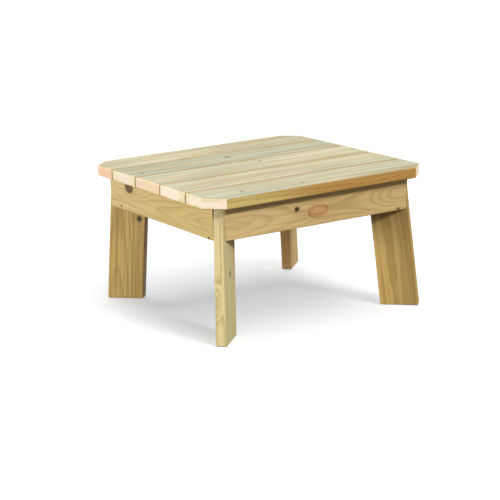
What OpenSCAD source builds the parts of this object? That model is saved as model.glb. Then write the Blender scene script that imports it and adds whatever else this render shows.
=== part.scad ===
// Raised sandbox: four mitred walls hold a shallow sand well on four splayed plank legs,
// and a planked cover lifts straight off the top.
// Millimetres. The origin is on the ground under the middle, +X along the cover boards, +Z up.

/* [Cover] */
// Height of the cover's top face above the ground
top_h = 425; // [390:5:480]
// Length of the cover boards
board_l = 745; // [720:5:800]
// Width of one cover board
board_w = 145; // [142:1:150]
// Thickness of the cover boards
board_t = 32; // [28:1:36]
// Gap between neighbouring cover boards
board_gap = 3; // [2:0.5:5]
// Length of the 45 degree cut along each side at the cover's corners
corner_cut = 51; // [30:1:60]
// How far the cover overhangs the walls all round
overhang = 36; // [25:1:45]
// Radius of the rounded long edges of the planed timber
arris = 4; // [2:0.5:5]

/* [Cover battens] */
// Width of a batten
batten_w = 45; // [35:1:50]
// Thickness of a batten
batten_t = 20; // [16:1:24]
// Distance of the outer battens from the middle of the cover
batten_x = 162; // [140:1:170]
// Play between the battens and the inside of the sand well
cover_play = 5; // [3:0.5:8]

/* [Walls] */
// Height of the walls
wall_h = 97; // [90:1:110]
// Thickness of the walls
wall_t = 33; // [28:1:36]

/* [Legs] */
// Width of a leg plank
leg_w = 117; // [110:1:125]
// Thickness of a leg plank
leg_t = 33; // [28:1:36]
// Outward lean of the legs, in degrees
leg_splay = 5; // [3:0.5:6]
// How far the head of a leg stands back from the corner where the walls' faces would meet
leg_set_back = 19; // [17:1:24]
// How far the heads of the legs stay below the walls' top edges, on which the cover rests
leg_drop = 0.5; // [0.5:0.5:3]

/* [Sand well] */
// Thickness of the boards that close the corners of the well
corner_board_t = 20; // [18:1:24]
// How far the corner boards stay below the cover boards
corner_board_drop = 5; // [3:1:10]
// Width and height of the ledger strips under the floor panel
ledger_s = 20; // [18:1:24]
// Thickness of the floor panel
floor_t = 9; // [6:1:12]
// Gap round the floor panel
floor_gap = 1; // [0.5:0.5:2]
// Diameter of the drain holes in the floor panel
drain_d = 8; // [6:1:12]

/* [Fasteners] */
// Shank diameter of the wood screws
screw_d = 4.5; // [4:0.5:5]
// Shank diameter of the coach screws that hold the legs
coach_d = 8; // [8:1:10]
// Length of the coach screws under the head
coach_l = 75; // [60:5:80]

/* [Badge] */
// Width of the oval badge
badge_w = 70; // [50:1:90]
// Height of the oval badge
badge_h = 37; // [30:1:50]
// Thickness of the badge at its rim
badge_t = 2.4; // [1.6:0.2:4]

/* [Hidden] */
$fn = 32;

board_n = 5;
cover_w = board_n * board_w + (board_n - 1) * board_gap;
cover_z = top_h - board_t;

// The walls' outer faces lie at +-wall_x and +-wall_y
wall_x = board_l / 2 - overhang;
wall_y = cover_w / 2 - overhang;
wall_z = cover_z - wall_h;
// Along a wall's outer face, from the theoretical corner to the mitred end against the leg
mitre_start = leg_t / sqrt(2);

// Distances along a corner's diagonal, measured inwards from the theoretical corner
leg_depth = leg_w / cos(leg_splay);
head_in = leg_set_back - tan(leg_splay) * wall_h + leg_depth;
well_in = head_in + corner_board_t;

floor_z = wall_z + ledger_s;
well_z = floor_z + floor_t;
corner_board_h = cover_z - corner_board_drop - well_z;
// The two heights at which the corner boards are screwed to the walls and legs
joint_z = [well_z + 0.26 * corner_board_h, well_z + 0.75 * corner_board_h];
// Sideways distance of the wall screws from the middle of a corner board
wall_screw_t = head_in - wall_t * sqrt(2) + 4;

// Half lengths of the ledgers, which end where the floor panel's corners are cut off
ledger_x = wall_x + wall_t - head_in * sqrt(2);
ledger_y = wall_y + wall_t - head_in * sqrt(2);
drain_pitch = 180;

// Screw lengths, and the play round a fastener in its hole
cover_screw_l = batten_t + 0.78 * board_t;
wall_screw_l = 50;
ledger_screw_l = 40;
floor_screw_l = 25;
foot_screw_l = 40;
hole_play = 0.1;

// Seat of the coach screws in the corner boards
seat_d = 22;
seat_depth = 8;
washer_d = 16;
washer_t = 1.6;
hex_w = 13;
hex_h = 5.3;

// Half length of the outer battens, whose ends clear the corner boards, and of the middle one
outer_batten = wall_x + wall_y - batten_x - batten_w / 2 - (well_in + cover_play) * sqrt(2);
middle_batten = wall_y - wall_t - cover_play;
battens = [[-batten_x, outer_batten], [0, middle_batten], [batten_x, outer_batten]];

badge_z = wall_z + 0.434 * wall_h;
badge_rim = 2.5;
badge_sink = 0.8;
pin_x = 0.38 * badge_w;
pin_r = 1;
pin_l = 12;

// Middle of cover board i, counted from the front
function board_y(i) = (i - (board_n + 1) / 2) * (board_w + board_gap);

// Where the two screws of board i cross a batten of half length reach
function screw_ys(i, reach) =
  let (low = max(board_y(i) - board_w / 2, -reach), high = min(board_y(i) + board_w / 2, reach))
  [low + 0.28 * (high - low), high - 0.28 * (high - low)];

// A w by t section, centred on X and standing on the X axis, with rounded corners
module eased_section(w, t, r) {
  translate([-w / 2 + r, 0]) square([w - 2 * r, t]);
  translate([-w / 2, r]) square([w, t - 2 * r]);
  for (x = [-w / 2 + r, w / 2 - r], y = [r, t - r]) translate([x, y]) circle(r);
}

// A plank of length l along X, w across Y and t up Z, with rounded long edges
module plank(l, w, t, r = arris) {
  rotate([90, 0, 90]) translate([0, 0, -l / 2]) linear_extrude(l) eased_section(w, t, r);
}

// A 2x by 2y rectangle with its corners cut off at 45 degrees, c along each side
module cut_rectangle(x, y, c) {
  polygon([
    [-x, c - y], [c - x, -y], [x - c, -y], [x, c - y],
    [x, y - c], [x - c, y], [c - x, y], [-x, y - c]
  ]);
}

// A countersunk wood screw that points down, with the top of its head at the origin
module screw(l) {
  r = screw_d / 2;
  rotate_extrude() polygon([[0, 0], [2 * r, 0], [r, -r], [r, 2 * r - l], [0.3, -l], [0, -l]]);
}

// The hole that such a screw fills
module screw_hole(l) {
  r = screw_d / 2 + hole_play;
  rotate_extrude() polygon([[0, 1], [2 * r, 1], [2 * r, 0], [r, -r], [r, -l - 0.5], [0, -l - 0.5]]);
}

// Frame of one corner: X runs inwards along the diagonal, Y across it
module at_corner(sx, sy) {
  translate([sx * wall_x, sy * wall_y, 0]) rotate([0, 0, atan2(-sy, -sx)]) children();
}

module at_corners() {
  for (sx = [-1, 1], sy = [-1, 1]) at_corner(sx, sy) children();
}

// Places of the screws that hold batten b to the cover boards
module at_batten_screws(b) {
  for (i = [1 : board_n], y = screw_ys(i, b[1]))
    translate([b[0], y, cover_z - batten_t]) rotate([180, 0, 0]) children();
}

// Places of the screws through the corner boards into the walls
module at_wall_screws() {
  at_corners() for (t = [-wall_screw_t, wall_screw_t], z = joint_z)
    translate([well_in, t, z]) rotate([0, 90, 0]) children();
}

// Places of the coach screws through the corner boards into the legs, at the head's seat
module at_coach_screws() {
  at_corners() for (z = joint_z)
    translate([well_in - seat_depth, 0, z]) rotate([0, 90, 0]) children();
}

// Places along the four ledgers at fractions f of their half length, up, and in from the wall
module at_ledgers(fractions, up, in) {
  for (side = [0, 90, 180, 270], f = fractions) {
    half = side % 180 == 0 ? ledger_x : ledger_y;
    wall = side % 180 == 0 ? wall_y : wall_x;
    rotate([0, 0, side]) translate([f * half, wall_t + in - wall, up]) children();
  }
}

module at_ledger_screws() {
  at_ledgers([-0.7, 0, 0.7], wall_z + ledger_s / 2, ledger_s) rotate([-90, 0, 0]) children();
}

module at_floor_screws() {
  at_ledgers([-0.35, 0.35], well_z, ledger_s / 2) children();
}

// Places of the screws from below, through the floor panel into the corner boards
module at_foot_screws() {
  at_corners() for (t = [-1, 1] * 0.4 * head_in)
    translate([head_in + corner_board_t / 2, t, floor_z]) rotate([180, 0, 0]) children();
}

module at_badge_pins() {
  for (x = [-pin_x, pin_x])
    translate([x, -wall_y, badge_z]) rotate([-90, 0, 0]) children();
}

module cover_board(i) {
  color("palegoldenrod") difference() {
    intersection() {
      translate([0, board_y(i), cover_z]) plank(board_l, board_w, board_t);
      translate([0, 0, cover_z - 1]) linear_extrude(board_t + 2)
        cut_rectangle(board_l / 2, cover_w / 2, corner_cut);
    }
    for (b = battens) at_batten_screws(b) screw_hole(cover_screw_l);
  }
}

module cover_batten(b) {
  color("burlywood") difference() {
    translate([b[0], 0, cover_z - batten_t]) rotate([0, 0, 90])
      plank(2 * b[1], batten_w, batten_t, arris / 2);
    at_batten_screws(b) screw_hole(cover_screw_l);
  }
}

module cover_screws() {
  color("silver") for (b = battens) at_batten_screws(b) screw(cover_screw_l);
}

// A wall along X with its outer face at -y; its ends are cut to lie flat on two legs
module wall_blank(x, y) {
  outer = x - mitre_start;
  inner = outer - wall_t;
  intersection() {
    translate([0, wall_t / 2 - y, wall_z]) plank(2 * x, wall_t, wall_h);
    translate([0, 0, wall_z - 1]) linear_extrude(wall_h + 2)
      polygon([[-outer, -y], [outer, -y], [inner, wall_t - y], [-inner, wall_t - y]]);
  }
}

// The wall that faces -Y, turned by side degrees
module wall(side) {
  along_x = side % 180 == 0;
  color("goldenrod") difference() {
    rotate([0, 0, side]) wall_blank(along_x ? wall_x : wall_y, along_x ? wall_y : wall_x);
    at_wall_screws() screw_hole(wall_screw_l);
    at_ledger_screws() screw_hole(ledger_screw_l);
    if (side == 0) at_badge_pins() cylinder(r = pin_r + hole_play, h = pin_l);
  }
}

// A plank leaning outwards along the diagonal, cut level at its foot and head. Its inner side
// is cut plumb above the walls' lower edge, to lie flat on the corner board.
module leg(sx, sy) {
  foot_out = leg_set_back - tan(leg_splay) * cover_z;
  color("tan") difference() {
    at_corner(sx, sy) intersection() {
      translate([foot_out + leg_depth / 2, 0, 0]) rotate([0, leg_splay, 0])
        translate([0, -leg_t / 2, -leg_t]) linear_extrude(cover_z + 3 * leg_t)
        eased_section(leg_w, leg_t, arris);
      translate([-leg_w, -leg_t, 0]) cube([leg_w + head_in, 2 * leg_t, cover_z - leg_drop]);
    }
    at_coach_screws() coach_hole();
  }
}

// A coach screw that points down from its washer, which lies on the plane z = 0
module coach_screw() {
  r = coach_d / 2;
  translate([0, 0, washer_t]) {
    cylinder(d = hex_w / cos(30), h = hex_h, $fn = 6);
    rotate_extrude() polygon([[0, 1], [r, 1], [r, 2 * r - coach_l], [0.5, -coach_l], [0, -coach_l]]);
  }
}

module coach_hole() {
  translate([0, 0, washer_t - coach_l - 1]) cylinder(d = coach_d + 2 * hole_play, h = coach_l + 10);
}

module leg_coach_screws() {
  color("silver") at_coach_screws() coach_screw();
}

module leg_washers() {
  color("silver") at_coach_screws() difference() {
    cylinder(d = washer_d, h = washer_t);
    translate([0, 0, -1]) cylinder(d = coach_d + 0.6, h = washer_t + 2);
  }
}

// A board across the corner, in front of the leg's head, that closes the well
module corner_board(sx, sy) {
  back = head_in - wall_t * sqrt(2);
  front = back + corner_board_t;
  color("burlywood") difference() {
    at_corner(sx, sy) translate([0, 0, well_z]) linear_extrude(corner_board_h)
      polygon([[head_in, -back], [well_in, -front], [well_in, front], [head_in, back]]);
    at_wall_screws() screw_hole(wall_screw_l);
    at_foot_screws() screw_hole(foot_screw_l);
    at_coach_screws() {
      coach_hole();
      cylinder(d = seat_d, h = seat_depth + 1);
    }
  }
}

module corner_board_screws() {
  color("silver") at_wall_screws() screw(wall_screw_l);
}

// The ledger on the wall that faces -Y, turned by side degrees
module ledger(side) {
  along_x = side % 180 == 0;
  half = along_x ? ledger_x : ledger_y;
  wall = along_x ? wall_y : wall_x;
  color("burlywood") difference() {
    rotate([0, 0, side]) translate([0, wall_t + ledger_s / 2 - wall, wall_z])
      plank(2 * half, ledger_s, ledger_s, arris / 2);
    at_ledger_screws() screw_hole(ledger_screw_l);
    at_floor_screws() screw_hole(floor_screw_l);
  }
}

module ledger_screws() {
  color("silver") at_ledger_screws() screw(ledger_screw_l);
}

module floor_panel() {
  edge = wall_t + floor_gap;
  color("wheat") difference() {
    translate([0, 0, floor_z]) linear_extrude(floor_t)
      cut_rectangle(wall_x - edge, wall_y - edge, (head_in + floor_gap) * sqrt(2) - 2 * edge);
    for (x = [-1 : 1], y = [-1 : 1])
      translate([x * drain_pitch, y * drain_pitch, floor_z - 1]) cylinder(d = drain_d, h = floor_t + 2);
    at_floor_screws() screw_hole(floor_screw_l);
    at_foot_screws() screw_hole(foot_screw_l);
  }
}

module floor_screws() {
  color("silver") {
    at_floor_screws() screw(floor_screw_l);
    at_foot_screws() screw(foot_screw_l);
  }
}

module oval(inset) {
  polygon([for (a = [0 : 6 : 354]) [(badge_w / 2 - inset) * cos(a), (badge_h / 2 - inset) * sin(a)]]);
}

// A bare oval plate with a raised rim, on the front wall
module badge_plate() {
  color("peru") difference() {
    translate([0, -wall_y, badge_z]) rotate([90, 0, 0]) difference() {
      linear_extrude(badge_t) oval(0);
      translate([0, 0, badge_t - badge_sink]) linear_extrude(badge_sink + 1) oval(badge_rim);
    }
    at_badge_pins() translate([0, 0, -badge_t - 1]) cylinder(r = pin_r + hole_play, h = badge_t + 2);
  }
}

// Two round-headed pins, whose heads stand on the sunk face of the badge
module badge_pins() {
  head = badge_t - badge_sink;
  color("peru") at_badge_pins() rotate_extrude()
    polygon([
      [0, pin_l - 0.5], [pin_r, pin_l - 2.5], [pin_r, -head], [2 * pin_r, -head],
      [1.6 * pin_r, -head - 0.6], [0.8 * pin_r, -head - 1], [0, -head - 1.1]
    ]);
}

cover_board(1);  // cover_board_1
cover_board(2);  // cover_board_2
cover_board(3);  // cover_board_3
cover_board(4);  // cover_board_4
cover_board(5);  // cover_board_5
cover_batten(battens[0]);  // cover_batten_left
cover_batten(battens[1]);  // cover_batten_middle
cover_batten(battens[2]);  // cover_batten_right
cover_screws();
wall(0);  // wall_front
wall(90);  // wall_right
wall(180);  // wall_back
wall(270);  // wall_left
leg(-1, -1);  // leg_front_left
leg(1, -1);  // leg_front_right
leg(-1, 1);  // leg_back_left
leg(1, 1);  // leg_back_right
corner_board(-1, -1);  // corner_board_front_left
corner_board(1, -1);  // corner_board_front_right
corner_board(-1, 1);  // corner_board_back_left
corner_board(1, 1);  // corner_board_back_right
leg_coach_screws();
leg_washers();
corner_board_screws();
ledger(0);  // ledger_front
ledger(90);  // ledger_right
ledger(180);  // ledger_back
ledger(270);  // ledger_left
ledger_screws();
floor_panel();
floor_screws();
badge_plate();
badge_pins();
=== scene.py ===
"""Raised wooden sandbox under its planked lift-off cover: the looks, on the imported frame."""
from dataclasses import dataclass
from math import atan2, cos, pi, radians, sin, sqrt, tan

import bmesh
import bpy
from mathutils import Matrix, Vector, noise


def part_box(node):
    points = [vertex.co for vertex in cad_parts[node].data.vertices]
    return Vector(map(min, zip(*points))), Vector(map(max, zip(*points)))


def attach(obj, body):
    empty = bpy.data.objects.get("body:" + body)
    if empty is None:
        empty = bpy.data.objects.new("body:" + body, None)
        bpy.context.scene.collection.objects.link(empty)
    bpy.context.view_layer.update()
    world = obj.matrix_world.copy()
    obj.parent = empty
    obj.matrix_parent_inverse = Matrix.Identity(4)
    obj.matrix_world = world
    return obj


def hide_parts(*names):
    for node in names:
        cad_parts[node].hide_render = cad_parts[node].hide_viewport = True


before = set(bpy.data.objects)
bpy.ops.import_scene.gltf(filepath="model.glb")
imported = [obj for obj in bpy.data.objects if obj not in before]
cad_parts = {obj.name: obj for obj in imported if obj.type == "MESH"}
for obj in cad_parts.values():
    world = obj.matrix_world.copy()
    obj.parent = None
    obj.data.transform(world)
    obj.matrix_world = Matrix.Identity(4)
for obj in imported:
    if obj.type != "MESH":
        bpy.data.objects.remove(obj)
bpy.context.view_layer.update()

MM = 0.001

# ---------------------------------------------------------------- camera

CAMERA_AT = (-2.6045, -4.2263, 1.3866)
CAMERA_YAW, CAMERA_PITCH, CAMERA_ROLL = 0.5468, 0.2423, -0.0386
CAMERA_LENS = 120.96


def make_camera():
    """A long lens that looks down a little at the front left corner, rolled a touch."""
    ahead = Vector((sin(CAMERA_YAW) * cos(CAMERA_PITCH), cos(CAMERA_YAW) * cos(CAMERA_PITCH),
                    -sin(CAMERA_PITCH)))
    level_right = ahead.cross(Vector((0, 0, 1))).normalized()
    level_up = level_right.cross(ahead)
    right = level_right * cos(CAMERA_ROLL) + level_up * sin(CAMERA_ROLL)
    up = level_up * cos(CAMERA_ROLL) - level_right * sin(CAMERA_ROLL)
    camera = bpy.data.objects.new("camera", bpy.data.cameras.new("camera"))
    bpy.context.scene.collection.objects.link(camera)
    camera.data.lens = CAMERA_LENS
    camera.data.sensor_width = 36
    camera.data.clip_end = 100
    turn = Matrix((right, up, -ahead)).transposed()
    camera.matrix_world = Matrix.Translation(CAMERA_AT) @ turn.to_4x4()
    bpy.context.scene.camera = camera


# ---------------------------------------------------------------- node networks

def tone(red, green, blue):
    """A linear colour from 0 to 255 display values."""
    def linear(value):
        v = value / 255
        return v / 12.92 if v <= 0.04045 else ((v + 0.055) / 1.055) ** 2.4
    return (linear(red), linear(green), linear(blue), 1.0)


class Net:
    """Adds nodes to a tree. A value put into a node is a number, a colour or another's output."""

    def __init__(self, tree):
        self.tree = tree

    def put(self, socket, value):
        if isinstance(value, bpy.types.NodeSocket):
            self.tree.links.new(value, socket)
        else:
            socket.default_value = value

    def add(self, kind, values=None, **settings):
        node = self.tree.nodes.new(kind)
        for key, value in settings.items():
            setattr(node, key, value)
        for key, value in (values or {}).items():
            self.put(node.inputs[key], value)
        return node

    def math(self, operation, *values):
        return self.add("ShaderNodeMath", dict(enumerate(values)), operation=operation).outputs[0]

    def vector(self, operation, *values):
        node = self.add("ShaderNodeVectorMath", dict(enumerate(values)), operation=operation)
        return node.outputs["Value" if operation in ("LENGTH", "DOT_PRODUCT") else "Vector"]

    def split(self, vector):
        return self.add("ShaderNodeSeparateXYZ", {0: vector}).outputs

    def join(self, x, y, z):
        return self.add("ShaderNodeCombineXYZ", {0: x, 1: y, 2: z}).outputs[0]

    def mix(self, amount, a, b, blend="MIX"):
        node = self.add("ShaderNodeMix", {0: amount, 6: a, 7: b}, data_type="RGBA", blend_type=blend)
        return node.outputs[2]

    def square(self, value):
        return self.math("MULTIPLY", value, value)

    def bell(self, value):
        """1 at 0, falling off smoothly on both sides."""
        return self.math("EXPONENT", self.math("MULTIPLY", self.square(value), -1.0))

    def ramp(self, value, low, high, to_low=0.0, to_high=1.0):
        """A smooth step from to_low at low to to_high at high."""
        node = self.add("ShaderNodeMapRange", {0: value, 1: low, 2: high, 3: to_low, 4: to_high},
                        interpolation_type="SMOOTHSTEP")
        return node.outputs[0]

    def noise(self, point, scale, detail=2.0, rough=0.5):
        values = {"Vector": point, "Scale": scale, "Detail": detail, "Roughness": rough}
        return self.add("ShaderNodeTexNoise", values).outputs["Fac"]

    def drift(self, value, scale, detail=1.0):
        """Smooth one-dimensional noise; the colour holds three separate channels."""
        values = {"W": value, "Scale": scale, "Detail": detail}
        return self.add("ShaderNodeTexNoise", values, noise_dimensions="1D").outputs


def new_material(name):
    material = bpy.data.materials.new(name)
    material.use_nodes = True
    net = Net(material.node_tree)
    return material, net, net.tree.nodes["Principled BSDF"]


# ---------------------------------------------------------------- timber

@dataclass
class Knot:
    """A knot at x along the grain and y across it, in mm. through is the axis it runs along: z in
    a wide face, y in an edge. shade is how dark it is, 0 for a swirl with its knot cut away, green
    how green, swirl how far the grain bends round it, reach how long that bend is, and stretch the
    knot's length over its width."""
    x: float
    y: float
    radius: float
    shade: float = 0.8
    green: float = 0.0
    swirl: float = 1.0
    through: str = "z"
    reach: float = 3.0
    stretch: float = 1.2


@dataclass
class Timber:
    """How a plank is sawn and coloured. Lengths are in mm.

    light, dark and ends are the early wood, late wood and end grain. pith is where the tree's
    middle lies in the section, slant how far it climbs in y per length, rings the ring width, and
    wander how far the pith strays. swells are (x, width, height): there the pith lies deeper by
    that height. contrast is how strongly the rings show. casts are (colour, amount, patches per
    metre along, and across). sides are (axis, sign, colour at low x, at high x, amount) for whole
    faces: mostly the wood's own tone, but painted shade on the cover boards' faces in the gaps
    and painted light on one shaded leg edge. rim is the end grain's colour along its outline, for
    a section of half width and thickness edge. arris is the colour of the rounded long edges,
    used on the cover as painted shade along the seams."""
    light: tuple
    dark: tuple
    ends: tuple
    seed: float
    pith: tuple = (0, -70)
    slant: float = 0.0
    rings: float = 6.0
    wander: float = 8.0
    warp: float = 2.0
    contrast: float = 0.6
    streaks: float = 0.35
    swells: tuple = ()
    knots: tuple = ()
    casts: tuple = ()
    sides: tuple = ()
    rim: tuple = None
    edge: tuple = (72.5, 16)
    arris: tuple = None


KNOT_BROWN = tone(134, 100, 70)
KNOT_DARK = tone(46, 36, 26)
KNOT_GREEN = tone(66, 86, 64)


def knot_distance(net, x, across, knot, stretch):
    """Distance from the knot's axis in radii, with x shortened by stretch."""
    dx = net.math("DIVIDE", net.math("SUBTRACT", x, knot.x * MM), knot.radius * stretch * MM)
    dy = net.math("DIVIDE", net.math("SUBTRACT", across, knot.y * MM), knot.radius * MM)
    return net.math("SQRT", net.math("ADD", net.square(dx), net.square(dy)))


def ring_radius(net, wood, x, y, z, seeded):
    """Distance from the pith, bent by swells, knots and a slow warp."""
    stray = net.split(net.drift(net.math("ADD", x, wood.seed * 3.1), 1.6)["Color"])
    stray_y = net.math("MULTIPLY", net.math("SUBTRACT", stray[0], 0.5), 4 * wood.wander * MM)
    stray_z = net.math("MULTIPLY", net.math("SUBTRACT", stray[1], 0.5), 4 * wood.wander * MM)
    from_y = net.math("SUBTRACT", net.math("SUBTRACT", y, wood.pith[0] * MM), stray_y)
    from_y = net.math("SUBTRACT", from_y, net.math("MULTIPLY", x, wood.slant))
    from_z = net.math("SUBTRACT", net.math("SUBTRACT", z, wood.pith[1] * MM), stray_z)
    for centre, width, height in wood.swells:
        along = net.math("DIVIDE", net.math("SUBTRACT", x, centre * MM), width * MM)
        from_z = net.math("ADD", from_z, net.math("MULTIPLY", net.bell(along), height * MM))
    radius = net.math("SQRT", net.math("ADD", net.square(from_y), net.square(from_z)))
    warp = net.noise(net.vector("MULTIPLY", seeded, (5, 22, 22)), 1.0, 2.0)
    radius = net.math("ADD", radius, net.math("MULTIPLY", net.math("SUBTRACT", warp, 0.5),
                                              2 * wood.warp * MM))
    for knot in wood.knots:
        across = z if knot.through == "y" else y
        bend = net.bell(net.math("MULTIPLY", knot_distance(net, x, across, knot, knot.reach), 0.47))
        radius = net.math("ADD", radius, net.math("MULTIPLY", bend, 1.6 * knot.swirl * knot.radius * MM))
    return radius


def timber_material(name, wood, origin=(0, 0, 0), turn=(0, 0, 0)):
    """Solid softwood: growth rings round a wandering pith, cut by the plank's own faces. The grain
    runs along the object's X; origin and turn place it for a piece that lies otherwise."""
    material, net, shader = new_material(name)
    coordinates = net.add("ShaderNodeTexCoord").outputs
    point, normal = coordinates["Object"], coordinates["Normal"]
    if any(turn) or any(origin):
        values = {"Vector": point, "Location": origin, "Rotation": turn}
        point = net.add("ShaderNodeMapping", values, vector_type="TEXTURE").outputs[0]
        normal = net.add("ShaderNodeMapping", {"Vector": normal, "Rotation": turn},
                         vector_type="TEXTURE").outputs[0]
    x, y, z = net.split(point)
    facing = dict(zip("xyz", net.split(normal)))
    seeded = net.vector("ADD", point, (wood.seed * 1.37, wood.seed * 0.71, wood.seed * 2.13))

    # growth rings: pale early wood that darkens to a thin late band with a sharp outer side
    radius = ring_radius(net, wood, x, y, z, seeded)
    uneven = net.drift(net.math("ADD", radius, wood.seed), 45.0)["Fac"]
    rings = net.math("ADD", net.math("DIVIDE", radius, wood.rings * MM),
                     net.math("MULTIPLY", uneven, 1.6))
    place = net.math("FRACT", rings)
    late = net.math("MULTIPLY", net.ramp(place, 0.35, 0.9), net.ramp(place, 0.92, 1.0, 1.0, 0.0))
    patch = net.noise(net.vector("MULTIPLY", seeded, (2.2, 16, 16)), 1.0, 2.0)
    late = net.math("MULTIPLY", late, net.ramp(patch, 0.25, 0.75, 0.4, 1.0))

    # the two woods, tinted on whole faces: mostly the wood's own tone, with painted
    # shade on the cover boards' faces in the gaps and painted light on one shaded leg edge
    light, dark = wood.light, wood.dark
    for axis, sign, low_tint, high_tint, amount in wood.sides:
        shown = net.ramp(net.math("MULTIPLY", facing[axis], sign), 0.45, 0.85, 0.0, amount)
        tint = net.mix(net.ramp(x, -0.30, 0.06), low_tint, high_tint)
        light = net.mix(shown, light, tint)
        dark = net.mix(shown, dark, net.mix(1.0, tint, (0.62, 0.54, 0.42, 1), "MULTIPLY"))
    colour = net.mix(net.math("MULTIPLY", late, wood.contrast), light, dark)

    # patches of stain, broad streaks and fine fibres, all drawn out along the grain
    flat = net.ramp(net.math("ABSOLUTE", facing["z"]), 0.3, 0.8)
    for number, (cast, amount, along, across) in enumerate(wood.casts):
        spot = net.vector("ADD", seeded, (number * 5.3, 1.7, 0))
        spread = net.noise(net.vector("MULTIPLY", spot, (along, across, across)), 1.0, 2.0)
        shown = net.math("MULTIPLY", flat, net.ramp(spread, 0.42, 0.60, 0.0, amount))
        colour = net.mix(shown, colour, cast)
    # painted shade: the rounded long edges darkened towards the arris colour, for the shade along the
    # seams
    if wood.arris:
        rounded = net.math("MULTIPLY", net.ramp(net.math("ABSOLUTE", facing["y"]), 0.06, 0.3),
                           net.ramp(net.math("ABSOLUTE", facing["z"]), 0.3, 0.5, 0.0, 0.9))
        colour = net.mix(rounded, colour, wood.arris)
    streak = net.noise(net.vector("MULTIPLY", seeded, (3, 110, 110)), 1.0, 2.0, 0.6)
    colour = net.mix(net.ramp(streak, 0.42, 0.68, 0.0, wood.streaks), colour, dark)
    fibre = net.noise(net.vector("MULTIPLY", seeded, (14, 900, 900)), 1.0, 3.0, 0.65)
    grain = net.math("ADD", 0.9, net.math("MULTIPLY", fibre, 0.2))
    colour = net.mix(1.0, colour, net.join(grain, grain, grain), "MULTIPLY")

    # the pale sawn ends, with open pores and saw marks
    pores = net.noise(net.vector("MULTIPLY", seeded, (200, 420, 420)), 1.0, 3.0, 0.7)
    blotch = net.noise(net.vector("MULTIPLY", seeded, (9, 38, 60)), 1.0, 2.0)
    end = net.mix(net.math("MULTIPLY", late, 0.22), wood.ends, wood.dark)
    end = net.mix(net.ramp(blotch, 0.4, 0.6, 0.0, 0.5), end, net.mix(1.0, wood.ends, PINK, "MULTIPLY"))
    if wood.rim:
        inset = net.math("MINIMUM", net.math("SUBTRACT", wood.edge[0] * MM, net.math("ABSOLUTE", y)),
                         net.math("SUBTRACT", wood.edge[1] * MM, net.math("ABSOLUTE", z)))
        sap = net.noise(net.vector("MULTIPLY", seeded, (9, 14, 14)), 1.0, 1.0)
        sap = net.math("ADD", inset, net.math("MULTIPLY", net.math("SUBTRACT", sap, 0.5), 0.06))
        end = net.mix(net.ramp(sap, 0, 9 * MM, 0.8, 0.0), end, wood.rim)
    shade = net.math("ADD", 0.90, net.math("MULTIPLY", pores, 0.2))
    end = net.mix(1.0, end, net.join(shade, shade, shade), "MULTIPLY")
    across_grain = net.ramp(net.math("ABSOLUTE", facing["x"]), 0.45, 0.68)
    colour = net.mix(across_grain, colour, end)

    # knots: a brown disc with a dark rim, sometimes nearly black, sometimes green
    height = net.math("ADD", net.math("MULTIPLY", late, 0.35), net.math("MULTIPLY", fibre, 0.5))
    for knot in wood.knots:
        if knot.shade == 0:
            continue
        across = z if knot.through == "y" else y
        ragged = net.noise(net.vector("ADD", point, (knot.x * MM, knot.y * MM, 0.3)), 260.0, 2.0)
        ragged = net.math("MULTIPLY", net.math("SUBTRACT", ragged, 0.5), 0.5)
        distance = net.math("ADD", knot_distance(net, x, across, knot, knot.stretch), ragged)
        shown = net.ramp(net.math("ABSOLUTE", facing[knot.through]), 0.3, 0.7)
        inside = net.math("MULTIPLY", net.ramp(distance, 0.88, 1.08, 1.0, 0.0), shown)
        rim = net.math("MULTIPLY", net.ramp(distance, 0.5, 0.9), net.ramp(distance, 1.0, 1.3, 1.0, 0.0))
        rim = net.math("MULTIPLY", rim, shown)
        halo = net.math("MULTIPLY", net.ramp(distance, 1.0, 2.6, 0.5 * knot.shade, 0.0), shown)
        middle = net.mix(knot.green, net.mix(knot.shade ** 2, KNOT_BROWN, KNOT_DARK), KNOT_GREEN)
        whorl = net.math("FRACT", net.math("MULTIPLY", distance, 3.0))
        middle = net.mix(net.math("MULTIPLY", whorl, 0.3), middle, wood.dark)
        colour = net.mix(halo, colour, net.mix(knot.green, wood.dark, KNOT_GREEN))
        colour = net.mix(inside, colour, middle)
        colour = net.mix(net.math("MULTIPLY", rim, 0.8 * knot.shade), colour, KNOT_DARK)
        height = net.math("SUBTRACT", height, net.math("MULTIPLY", rim, 1.4 * knot.shade))

    bump = net.add("ShaderNodeBump", {"Strength": 0.35, "Distance": 0.9 * MM, "Height": height})
    net.put(shader.inputs["Base Color"], colour)
    net.put(shader.inputs["Roughness"], net.ramp(net.math("ADD", fibre, late), 0.3, 1.4, 0.76, 0.60))
    net.put(shader.inputs["Normal"], bump.outputs[0])
    shader.inputs["Specular IOR Level"].default_value = 0.2
    return material


# ---------------------------------------------------------------- planks

def prism(outline, low, high, upright=False):
    """An outline in XY extruded up Z, or, if upright, one in XZ extruded along Y."""
    mesh = bmesh.new()
    def vertex(a, b, depth):
        return mesh.verts.new((a, depth, b) if upright else (a, b, depth))
    lower = [vertex(a, b, low) for a, b in outline]
    upper = [vertex(a, b, high) for a, b in outline]
    mesh.faces.new(lower)
    mesh.faces.new(upper)
    for i in range(len(outline)):
        j = (i + 1) % len(outline)
        mesh.faces.new((lower[i], lower[j], upper[j], upper[i]))
    bmesh.ops.recalc_face_normals(mesh, faces=mesh.faces)
    return mesh


def slice_along(mesh, step, axis):
    """Cuts the mesh across the axis every step, so that it can be bent."""
    low = min(v.co[axis] for v in mesh.verts)
    high = max(v.co[axis] for v in mesh.verts)
    count = int((high - low) / step)
    across = Vector([i == axis for i in range(3)])
    for i in range(1, count):
        parts = mesh.verts[:] + mesh.edges[:] + mesh.faces[:]
        place = across * (low + (high - low) * i / count)
        bmesh.ops.bisect_plane(mesh, geom=parts, dist=1e-6, plane_co=place, plane_no=across)


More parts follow.
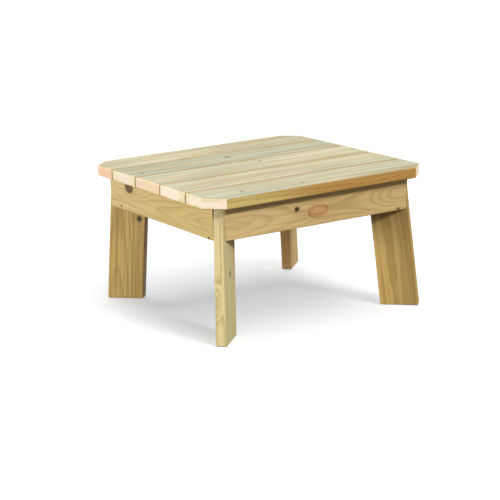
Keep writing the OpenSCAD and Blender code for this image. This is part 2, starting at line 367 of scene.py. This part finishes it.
def wear(mesh, depth, seed):
    """Wears the surface down by up to depth, so that no arris is quite straight."""
    mesh.normal_update()
    for v in mesh.verts:
        place = Vector((v.co.x * 12, v.co.y * 20, v.co.z * 20 + seed * 7.7))
        v.co -= v.normal * depth * min(1, max(0, 0.5 + noise.noise(place)))


def finish_piece(mesh, name, body, material, place=Matrix.Identity(4), nodes=()):
    """Turns the bmesh into a piece that rides on the body and stands for the CAD nodes."""
    data = bpy.data.meshes.new(name)
    mesh.to_mesh(data)
    mesh.free()
    data.shade_smooth()
    data.materials.append(material)
    piece = bpy.data.objects.new(name, data)
    bpy.context.scene.collection.objects.link(piece)
    piece.matrix_world = place
    smooth = piece.modifiers.new("even_shading", "WEIGHTED_NORMAL")
    smooth.keep_sharp = True
    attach(piece, body)
    if nodes:
        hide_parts(*nodes)
    return piece


def plank(node, body, wood, outline, low, high, place, upright=False, along=0, origin=(0, 0, 0),
          turn=(0, 0, 0), arris=4 * MM):
    """One planed board with rounded arrises that stands for its CAD node."""
    mesh = prism(outline, low, high, upright)
    bmesh.ops.bevel(mesh, geom=mesh.edges[:], offset=arris, segments=4, profile=0.5, affect="EDGES")
    slice_along(mesh, 0.03, along)
    wear(mesh, 0.4 * MM, wood.seed)
    material = timber_material(node, wood, origin, turn)
    return finish_piece(mesh, node + "_timber", body, material, place, (node,))


# ---------------------------------------------------------------- measures from the frame

SPLAY = radians(5)
COVER_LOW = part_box("cover_board_1")[0]
COVER_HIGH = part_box("cover_board_5")[1]
CORNER_CUT = 51 * MM
WALL_LOW, WALL_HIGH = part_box("wall_front")
WALL_T = WALL_HIGH.y - WALL_LOW.y
WALL_X = -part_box("wall_left")[0].x
WALL_Y = -WALL_LOW.y
LEG_T = (WALL_X - WALL_HIGH.x) * sqrt(2)


# ---------------------------------------------------------------- cover

PINK = (1.0, 0.90, 0.86, 1)
RIM = tone(224, 208, 156)
GREY_GREEN = tone(190, 200, 180)
CREAM = tone(216, 204, 170)
LINE = tone(170, 152, 110)
# painted shade: brown on the cover boards' faces in the gaps and on the back edge, for the shade that
# falls there
GAP_SHADE = tone(176, 134, 78)
# painted shade: the darker colour of the cover boards' rounded long edges, for the shade along the seams
SEAM_SHADE = tone(166, 136, 86)

COVER_WOOD = {
    "cover_board_1": Timber(
        tone(202, 204, 178), tone(166, 156, 118), tone(248, 228, 206), 1.3, pith=(20, -60), rings=9,
        contrast=0.6, rim=RIM, arris=SEAM_SHADE,
        casts=((GREY_GREEN, 0.9, 2.0, 22), (tone(206, 195, 162), 0.7, 2.5, 26),
               (LINE, 0.5, 3, 70)),
        sides=(("z", 1, tone(194, 206, 189), tone(184, 180, 153), 1.0),
               ("y", -1, tone(214, 188, 112), tone(188, 139, 66), 0.95),
               ("y", 1, GAP_SHADE, GAP_SHADE, 0.95)),
        knots=(Knot(-238, -12, 5, 0.45, 0.5), Knot(-42, -24, 4, 0.6, 0.3))),
    "cover_board_2": Timber(
        tone(208, 203, 172), tone(174, 158, 118), tone(246, 231, 208), 2.6, pith=(-30, -75), rings=9,
        contrast=0.6, rim=RIM, arris=SEAM_SHADE,
        casts=((GREY_GREEN, 0.6, 2.0, 26), (CREAM, 0.7, 2.2, 24), (LINE, 0.5, 3, 75)),
        sides=(("z", 1, tone(203, 199, 171), tone(195, 190, 162), 1.0),
               ("y", -1, GAP_SHADE, GAP_SHADE, 0.95), ("y", 1, GAP_SHADE, GAP_SHADE, 0.95))),
    "cover_board_3": Timber(
        tone(206, 203, 172), tone(172, 158, 116), tone(238, 210, 180), 3.4, pith=(10, -90), rings=9,
        contrast=0.6, rim=RIM, arris=SEAM_SHADE,
        casts=((GREY_GREEN, 0.7, 1.8, 24), (CREAM, 0.7, 2.2, 30), (LINE, 0.5, 3, 70)),
        sides=(("z", 1, tone(191, 188, 160), tone(190, 187, 160), 1.0),
               ("y", -1, GAP_SHADE, GAP_SHADE, 0.95), ("y", 1, GAP_SHADE, GAP_SHADE, 0.95)),
        knots=(Knot(35, 32, 5, 0.5, 0.5),)),
    "cover_board_4": Timber(
        tone(194, 194, 168), tone(162, 154, 122), tone(240, 223, 202), 4.8, pith=(-15, -65), rings=9,
        contrast=0.6, rim=RIM, arris=SEAM_SHADE,
        casts=((tone(176, 187, 167), 0.9, 2.0, 18), (tone(200, 189, 155), 0.6, 2.4, 28),
               (LINE, 0.5, 3, 75)),
        sides=(("z", 1, tone(176, 178, 155), tone(169, 163, 131), 1.0),
               ("y", -1, GAP_SHADE, GAP_SHADE, 0.95), ("y", 1, GAP_SHADE, GAP_SHADE, 0.95)),
        knots=(Knot(-6, 8, 7, 0.5, 0.6), Knot(-326, -33, 5, 0.5, 0.4))),
    "cover_board_5": Timber(
        tone(204, 198, 168), tone(170, 152, 110), tone(236, 200, 166), 5.9, pith=(25, -80), rings=9,
        contrast=0.6, rim=RIM, arris=SEAM_SHADE,
        casts=((GREY_GREEN, 0.5, 2.0, 24), (CREAM, 0.7, 2.0, 22), (LINE, 0.55, 3, 65)),
        sides=(("z", 1, tone(191, 189, 163), tone(190, 182, 152), 1.0),
               ("y", -1, GAP_SHADE, GAP_SHADE, 0.95), ("y", 1, GAP_SHADE, GAP_SHADE, 0.95))),
}


def make_cover():
    """Five boards side by side; the outer two have their outer corners cut off."""
    middle_z = (COVER_LOW.z + COVER_HIGH.z) / 2
    half_t = (COVER_HIGH.z - COVER_LOW.z) / 2
    for node, wood in COVER_WOOD.items():
        low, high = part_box(node)
        middle_y = (low.y + high.y) / 2
        x, y, c = high.x, (high.y - low.y) / 2, CORNER_CUT
        front, back = [(-x, -y), (x, -y)], [(x, y), (-x, y)]
        if node == "cover_board_1":
            front = [(-x, c - y), (c - x, -y), (x - c, -y), (x, c - y)]
        if node == "cover_board_5":
            back = [(x, y - c), (x - c, y), (c - x, y), (-x, y - c)]
        place = Matrix.Translation((0, middle_y, middle_z))
        plank(node, "cover", wood, front + back, -half_t, half_t, place)


# ---------------------------------------------------------------- walls

HONEY, HONEY_DARK, HONEY_ENDS = tone(212, 180, 122), tone(166, 130, 76), tone(228, 196, 146)

WALL_WOOD = {
    "wall_front": Timber(
        tone(218, 186, 130), tone(160, 122, 70), HONEY_ENDS, 7.1, pith=(-3, -46), slant=0.035,
        rings=6.5, wander=2, warp=1.2, contrast=0.6,
        swells=((-272, 165, -17), (290, 120, -28)),
        sides=(("z", 1, tone(228, 196, 138), tone(213, 181, 122), 1.0),),
        knots=(Knot(-74, 8, 5.5, 1.0, 0.2, 0.6), Knot(282, -43, 4, 0.5, 0, 0.6))),
    "wall_left": Timber(
        tone(206, 180, 120), tone(168, 136, 80), HONEY_ENDS, 8.2, pith=(-6, -54), rings=5.5,
        wander=3, warp=4.5, contrast=0.5, swells=((350, 220, -22),),
        sides=(("z", 1, tone(212, 188, 134), tone(206, 180, 120), 1.0),),
        knots=(Knot(-185, 26, 14.5, 0.7, 0.1, 0.7, stretch=1.5), Knot(-241, -40, 3, 0.8, 0, 0.5),
               Knot(283, -45, 4, 1.0, 0, 0.5))),
    "wall_right": Timber(
        HONEY, HONEY_DARK, HONEY_ENDS, 9.7, pith=(6, -50), swells=((-120, 120, -14),),
        knots=(Knot(120, 10, 6, 0.7, 0.2), Knot(-210, -22, 4, 0.5))),
    "wall_back": Timber(
        HONEY, HONEY_DARK, HONEY_ENDS, 10.4, pith=(-5, -48), swells=((200, 130, -16),),
        knots=(Knot(-150, -12, 7, 0.6, 0.3), Knot(90, 24, 4, 0.8))),
}
WALL_SIDE = {"wall_front": 0, "wall_right": 90, "wall_back": 180, "wall_left": 270}


def make_walls():
    """Four upright boards on edge; in a wall's own frame Y is up and Z points out of the sandbox."""
    stand = Matrix(((1, 0, 0), (0, 0, -1), (0, 1, 0))).to_4x4()
    for node, wood in WALL_WOOD.items():
        low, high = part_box(node)
        side = WALL_SIDE[node]
        along_x = side % 180 == 0
        outer = high.x if along_x else high.y
        reach = WALL_Y if along_x else WALL_X
        inner = outer - WALL_T
        half_t, half_h = WALL_T / 2, (high.z - low.z) / 2
        outline = [(-inner, -half_t), (inner, -half_t), (outer, half_t), (-outer, half_t)]
        place = (Matrix.Rotation(radians(side), 4, "Z")
                 @ Matrix.Translation((0, half_t - reach, (low.z + high.z) / 2)) @ stand)
        plank(node, "frame", wood, outline, -half_h, half_h, place, upright=True,
              arris=3.5 * MM)


# ---------------------------------------------------------------- legs

LEG_ENDS = tone(220, 186, 136)

LEG_WOOD = {
    "leg_front_left": Timber(
        tone(212, 194, 142), tone(160, 134, 80), LEG_ENDS, 11.3, pith=(-96, 6), rings=3.4,
        wander=5, contrast=0.7, casts=((tone(196, 192, 140), 0.6, 2, 14),),
        knots=(Knot(194, -6, 5, 0.7, 0.9, 0.8, stretch=1.8),
               Knot(118, 9, 5, 0, 0, 1.3, "y", 4.5))),
    "leg_front_right": Timber(
        tone(190, 157, 94), tone(150, 116, 62), LEG_ENDS, 12.9, pith=(10, 110), rings=5.5,
        wander=5, contrast=0.6, streaks=0.5),
    "leg_back_left": Timber(
        tone(224, 188, 116), tone(162, 124, 68), LEG_ENDS, 13.5, pith=(-30, 100), rings=5,
        wander=4, contrast=0.55, streaks=0.55,
        # painted light: this inner edge lies in the box's shade and is painted pale for the soft light
        # that reaches it
        sides=(("y", 1, tone(244, 218, 190), tone(244, 218, 190), 0.9),),
        knots=(Knot(259, 37, 6.5, 0.8, 0.8, 1.6, stretch=1.1),)),
    "leg_back_right": Timber(
        tone(208, 176, 122), tone(160, 124, 74), LEG_ENDS, 14.2, pith=(-10, 75), rings=5.5,
        wander=5, contrast=0.55,
        sides=(("y", 1, tone(176, 134, 80), tone(176, 134, 80), 0.8),)),
}


def make_legs():
    """Four planks across the corners, leaning out. In a corner's own frame X runs inwards along
    the diagonal, Y across it and Z up. In the plank's, X runs up it, Y inwards and Z through it."""
    up_plank = Vector((sin(SPLAY), 0, cos(SPLAY)))
    inwards = Vector((cos(SPLAY), 0, -sin(SPLAY)))
    turn = Matrix((up_plank, inwards, (0, 1, 0))).transposed().to_euler()
    for node, wood in LEG_WOOD.items():
        low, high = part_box(node)
        sx, sy = (-1 if low.x < 0 else 1), (-1 if low.y < 0 else 1)
        near, far = sorted((abs(low.x), abs(high.x)))
        foot_out = (WALL_X - far) * sqrt(2) + LEG_T / 2
        head_in = (WALL_X - near) * sqrt(2) - LEG_T / 2
        foot_in = head_in - tan(SPLAY) * WALL_LOW.z
        profile = [(foot_out, 0), (foot_in, 0), (head_in, WALL_LOW.z), (head_in, high.z),
                   (foot_out + tan(SPLAY) * high.z, high.z)]
        place = (Matrix.Translation((sx * WALL_X, sy * WALL_Y, 0))
                 @ Matrix.Rotation(atan2(-sy, -sx), 4, "Z"))
        plank(node, "frame", wood, profile, -LEG_T / 2, LEG_T / 2, place, upright=True,
              along=2, origin=((foot_out + foot_in) / 2, 0, 0), turn=turn)


# ---------------------------------------------------------------- inner timber, floor, steel

INNER_LIGHT, INNER_DARK = tone(214, 192, 142), tone(174, 142, 90)


def dress(node, material):
    """Gives the CAD piece its material and leaves its mesh alone."""
    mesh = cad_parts[node].data
    mesh.materials.clear()
    mesh.materials.append(material)


def dress_inner_timber():
    """Battens, ledgers and corner boards keep their CAD shape, with its screw holes."""
    turns = {"ledger_front": 0, "ledger_back": 0, "ledger_left": 90, "ledger_right": 90,
             "cover_batten_left": 90, "cover_batten_middle": 90, "cover_batten_right": 90,
             "corner_board_front_left": -45, "corner_board_back_right": -45,
             "corner_board_front_right": 45, "corner_board_back_left": 45}
    for number, (node, turn) in enumerate(turns.items()):
        low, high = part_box(node)
        wood = Timber(INNER_LIGHT, INNER_DARK, HONEY_ENDS, 20.7 + number * 1.9, pith=(5, -30), rings=4.5)
        material = timber_material(node, wood, tuple((low + high) / 2), (0, 0, radians(turn)))
        dress(node, material)


def plywood_material():
    """Sanded exterior plywood: a figured face and thin plies along the edge."""
    material, net, shader = new_material("floor_plywood")
    coordinates = net.add("ShaderNodeTexCoord").outputs
    point, normal = coordinates["Object"], coordinates["Normal"]
    x, y, z = net.split(point)
    flow = net.noise(net.vector("MULTIPLY", point, (1.5, 9, 9)), 1.0, 3.0)
    bent = net.math("ADD", y, net.math("MULTIPLY", flow, 0.3))
    bands = net.math("FRACT", net.math("MULTIPLY", bent, 38.0))
    fibre = net.noise(net.vector("MULTIPLY", point, (10, 420, 420)), 1.0, 3.0, 0.6)
    colour = net.mix(net.ramp(bands, 0.2, 0.95, 0.0, 0.5), tone(222, 190, 142), tone(188, 146, 98))
    colour = net.mix(net.ramp(fibre, 0.3, 0.8, 0.0, 0.35), colour, tone(172, 132, 88))
    plies = net.math("FRACT", net.math("MULTIPLY", z, 1 / 0.0018))
    edge = net.mix(net.ramp(plies, 0.35, 0.65), tone(196, 156, 110), tone(142, 104, 70))
    flat = net.ramp(net.math("ABSOLUTE", net.split(normal)[2]), 0.5, 0.8)
    net.put(shader.inputs["Base Color"], net.mix(flat, edge, colour))
    net.put(shader.inputs["Roughness"], net.ramp(fibre, 0.2, 0.8, 0.78, 0.62))
    bump = net.add("ShaderNodeBump", {"Strength": 0.3, "Distance": 0.0006, "Height": fibre})
    net.put(shader.inputs["Normal"], bump.outputs[0])
    shader.inputs["Specular IOR Level"].default_value = 0.2
    return material


def steel_material():
    """Bright zinc plating, clouded and lightly scratched."""
    material, net, shader = new_material("zinc_steel")
    point = net.add("ShaderNodeTexCoord").outputs["Object"]
    cloud = net.noise(point, 160.0, 3.0, 0.6)
    scratch = net.noise(net.vector("MULTIPLY", point, (300, 300, 2600)), 1.0, 2.0)
    net.put(shader.inputs["Base Color"], net.mix(cloud, tone(196, 198, 200), tone(226, 226, 222)))
    net.put(shader.inputs["Roughness"], net.ramp(net.math("ADD", cloud, scratch), 0.6, 1.4, 0.24, 0.46))
    bump = net.add("ShaderNodeBump", {"Strength": 0.2, "Distance": 0.0002, "Height": scratch})
    net.put(shader.inputs["Normal"], bump.outputs[0])
    shader.inputs["Metallic"].default_value = 1.0
    return material


def copper_material(half_w, half_h):
    """A dull copper oval of those half sizes, a little blotched, with a fine grit and painted shade
    round its rim.
    """
    material, net, shader = new_material("badge_copper")
    point = net.add("ShaderNodeTexCoord").outputs["Object"]
    blotch = net.noise(point, 210.0, 4.0, 0.65)
    grit = net.noise(point, 900.0, 3.0, 0.6)
    colour = net.mix(net.ramp(blotch, 0.35, 0.65), tone(206, 148, 88), tone(234, 184, 126))
    colour = net.mix(net.ramp(grit, 0.5, 0.7, 0.0, 0.4), colour, tone(160, 108, 60))
    # painted shade: darker in the groove inside the rim and along the edge where the plate meets the
    # wood
    x, y, z = net.split(point)
    across = net.math("DIVIDE", x, half_w)
    up = net.math("DIVIDE", z, half_h)
    out = net.math("SQRT", net.math("ADD", net.square(across), net.square(up)))
    groove_shade = net.math("MULTIPLY", net.ramp(out, 0.80, 0.87), net.ramp(out, 0.90, 0.95, 1.0, 0.0))
    skirt_shade = net.ramp(net.math("ABSOLUTE", y), 0.8 * MM, 1.8 * MM, 1.0, 0.0)
    colour = net.mix(net.math("MULTIPLY", net.math("MAXIMUM", groove_shade, skirt_shade), 0.5), colour,
                     tone(112, 68, 38))
    net.put(shader.inputs["Base Color"], colour)
    net.put(shader.inputs["Roughness"], net.ramp(blotch, 0.3, 0.7, 0.42, 0.62))
    bump = net.add("ShaderNodeBump", {"Strength": 0.4, "Distance": 0.0005, "Height": blotch})
    net.put(shader.inputs["Normal"], bump.outputs[0])
    shader.inputs["Metallic"].default_value = 0.35
    return material


def make_badge():
    """A bare oval plate: a rounded rim round a slightly sunk face."""
    low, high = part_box("badge_plate")
    middle = (low + high) / 2
    half_w, half_h, depth = (high.x - low.x) / 2, (high.z - low.z) / 2, high.y - low.y
    # (inset from the outline, height over the wall), in mm, from the outer edge to the middle
    rings = ((0, 0), (0, 1.5), (0.2, 2.0), (0.7, 2.35), (1.3, 2.4), (1.9, 2.3), (2.5, 1.7), (3.0, 1.2),
             (4, 1.15), (7, 1.3), (11, 1.5), (16, 1.6))
    sides = 96
    mesh = bmesh.new()
    loops = []
    for inset, height in rings:
        loop = []
        for i in range(sides):
            a = 2 * pi * i / sides
            loop.append(mesh.verts.new(((half_w - inset * MM) * cos(a), -min(height * MM, depth),
                                        (half_h - inset * MM) * sin(a))))
        loops.append(loop)
    for outer, inner in zip(loops, loops[1:]):
        for i in range(sides):
            j = (i + 1) % sides
            mesh.faces.new((outer[i], outer[j], inner[j], inner[i]))
    mesh.faces.new(loops[-1])
    mesh.faces.new(loops[0][::-1])
    bmesh.ops.recalc_face_normals(mesh, faces=mesh.faces)
    place = Matrix.Translation((middle.x, high.y, middle.z))
    copper = copper_material(half_w, half_h)
    finish_piece(mesh, "badge_oval", "frame", copper, place, ("badge_plate",))
    dress("badge_pins", copper)


# ---------------------------------------------------------------- stage

# the softbox's middle, as x and y over height, and how far it reaches each way before it fades
SOFTBOX_AT, SOFTBOX_X, SOFTBOX_Y = (0.15, -0.12), (0.30, 0.50), (1.0, 1.2)
SOFTBOX_LIGHT, SURROUND_LIGHT = 2.25, 0.11
# how much of the light from above the floor shows under the object, and away from it
FLOOR_NEAR, FLOOR_FAR = 0.82, 0.76
FLOOR_NEAR_TO, FLOOR_FAR_FROM = 0.28, 0.50


def make_stage():
    """A white floor that keeps a grey shadow, and a white surround with a long softbox in it."""
    floor_mesh = bmesh.new()
    bmesh.ops.create_circle(floor_mesh, cap_ends=True, segments=96, radius=12)
    data = bpy.data.meshes.new("floor")
    floor_mesh.to_mesh(data)
    floor_mesh.free()
    floor = bpy.data.objects.new("floor", data)
    floor.location.z = -0.2 * MM
    bpy.context.scene.collection.objects.link(floor)
    material = bpy.data.materials.new("floor")
    material.use_nodes = True
    net = Net(material.node_tree)
    net.tree.nodes.clear()
    path = net.add("ShaderNodeLightPath").outputs
    plain = net.add("ShaderNodeBsdfDiffuse", {"Color": (0.14, 0.14, 0.14, 1)}).outputs[0]
    # to the camera the floor answers only to light from well above, over a base of grey
    lift = net.add("ShaderNodeEmission", {"Color": (0.94, 0.98, 1.02, 1), "Strength": 0.48}).outputs[0]
    away = net.vector("LENGTH", net.add("ShaderNodeTexCoord").outputs["Object"])
    level = net.ramp(away, FLOOR_NEAR_TO, FLOOR_FAR_FROM, FLOOR_NEAR, FLOOR_FAR)
    above = net.add("ShaderNodeBsdfToon", {"Color": net.join(level, level, level), "Size": 0.55,
                                           "Smooth": 0.1}).outputs[0]
    shown = net.add("ShaderNodeAddShader", {0: lift, 1: above}).outputs[0]
    mixed = net.add("ShaderNodeMixShader", {0: path["Is Camera Ray"], 1: plain, 2: shown}).outputs[0]
    net.add("ShaderNodeOutputMaterial", {"Surface": mixed})
    data.materials.append(material)

    world = bpy.data.worlds.new("surround")
    bpy.context.scene.world = world
    world.use_nodes = True
    net = Net(world.node_tree)
    net.tree.nodes.clear()
    path = net.add("ShaderNodeLightPath").outputs
    seen = net.math("MAXIMUM", path["Is Camera Ray"], path["Is Glossy Ray"])
    # the softbox: a long bright strip overhead, across the boards
    x, y, z = net.split(net.add("ShaderNodeTexCoord").outputs["Generated"])
    level = net.math("MAXIMUM", z, 0.01)
    side = net.math("ABSOLUTE", net.math("SUBTRACT", net.math("DIVIDE", x, level), SOFTBOX_AT[0]))
    front = net.math("ABSOLUTE", net.math("SUBTRACT", net.math("DIVIDE", y, level), SOFTBOX_AT[1]))
    strip = net.math("MULTIPLY", net.ramp(side, *SOFTBOX_X, 1.0, 0.0),
                     net.ramp(front, *SOFTBOX_Y, 1.0, 0.0))
    strength = net.math("ADD", SURROUND_LIGHT, net.math("MULTIPLY", strip, SOFTBOX_LIGHT))
    lit = net.add("ShaderNodeBackground", {"Color": (1, 1, 1, 1), "Strength": strength}).outputs[0]
    white = net.add("ShaderNodeBackground", {"Color": (1, 1, 1, 1), "Strength": 1.0}).outputs[0]
    mixed = net.add("ShaderNodeMixShader", {0: seen, 1: lit, 2: white}).outputs[0]
    net.add("ShaderNodeOutputWorld", {"Surface": mixed})


def make_sun(name, towards, strength, softness):
    """A sun whose light comes from the direction towards, softness degrees wide."""
    sun = bpy.data.objects.new(name, bpy.data.lights.new(name, "SUN"))
    bpy.context.scene.collection.objects.link(sun)
    sun.data.energy = strength
    sun.data.angle = radians(softness)
    sun.rotation_euler = Vector(towards).to_track_quat("Z", "Y").to_euler()


# ---------------------------------------------------------------- build

make_camera()
make_cover()
make_walls()
make_legs()
make_badge()
dress_inner_timber()
dress("floor_panel", plywood_material())
zinc = steel_material()
for node in ("cover_screws", "leg_coach_screws", "leg_washers", "corner_board_screws", "ledger_screws",
             "floor_screws"):
    dress(node, zinc)
make_stage()
make_sun("front_light", (0.17, -0.82, 0.54), 2.15, 9)
make_sun("left_light", (-0.96, 0.17, 0.12), 3.0, 13)
make_sun("right_light", (0.95, -0.30, 0.10), 0.6, 30)
bpy.context.scene.view_settings.view_transform = "Standard"
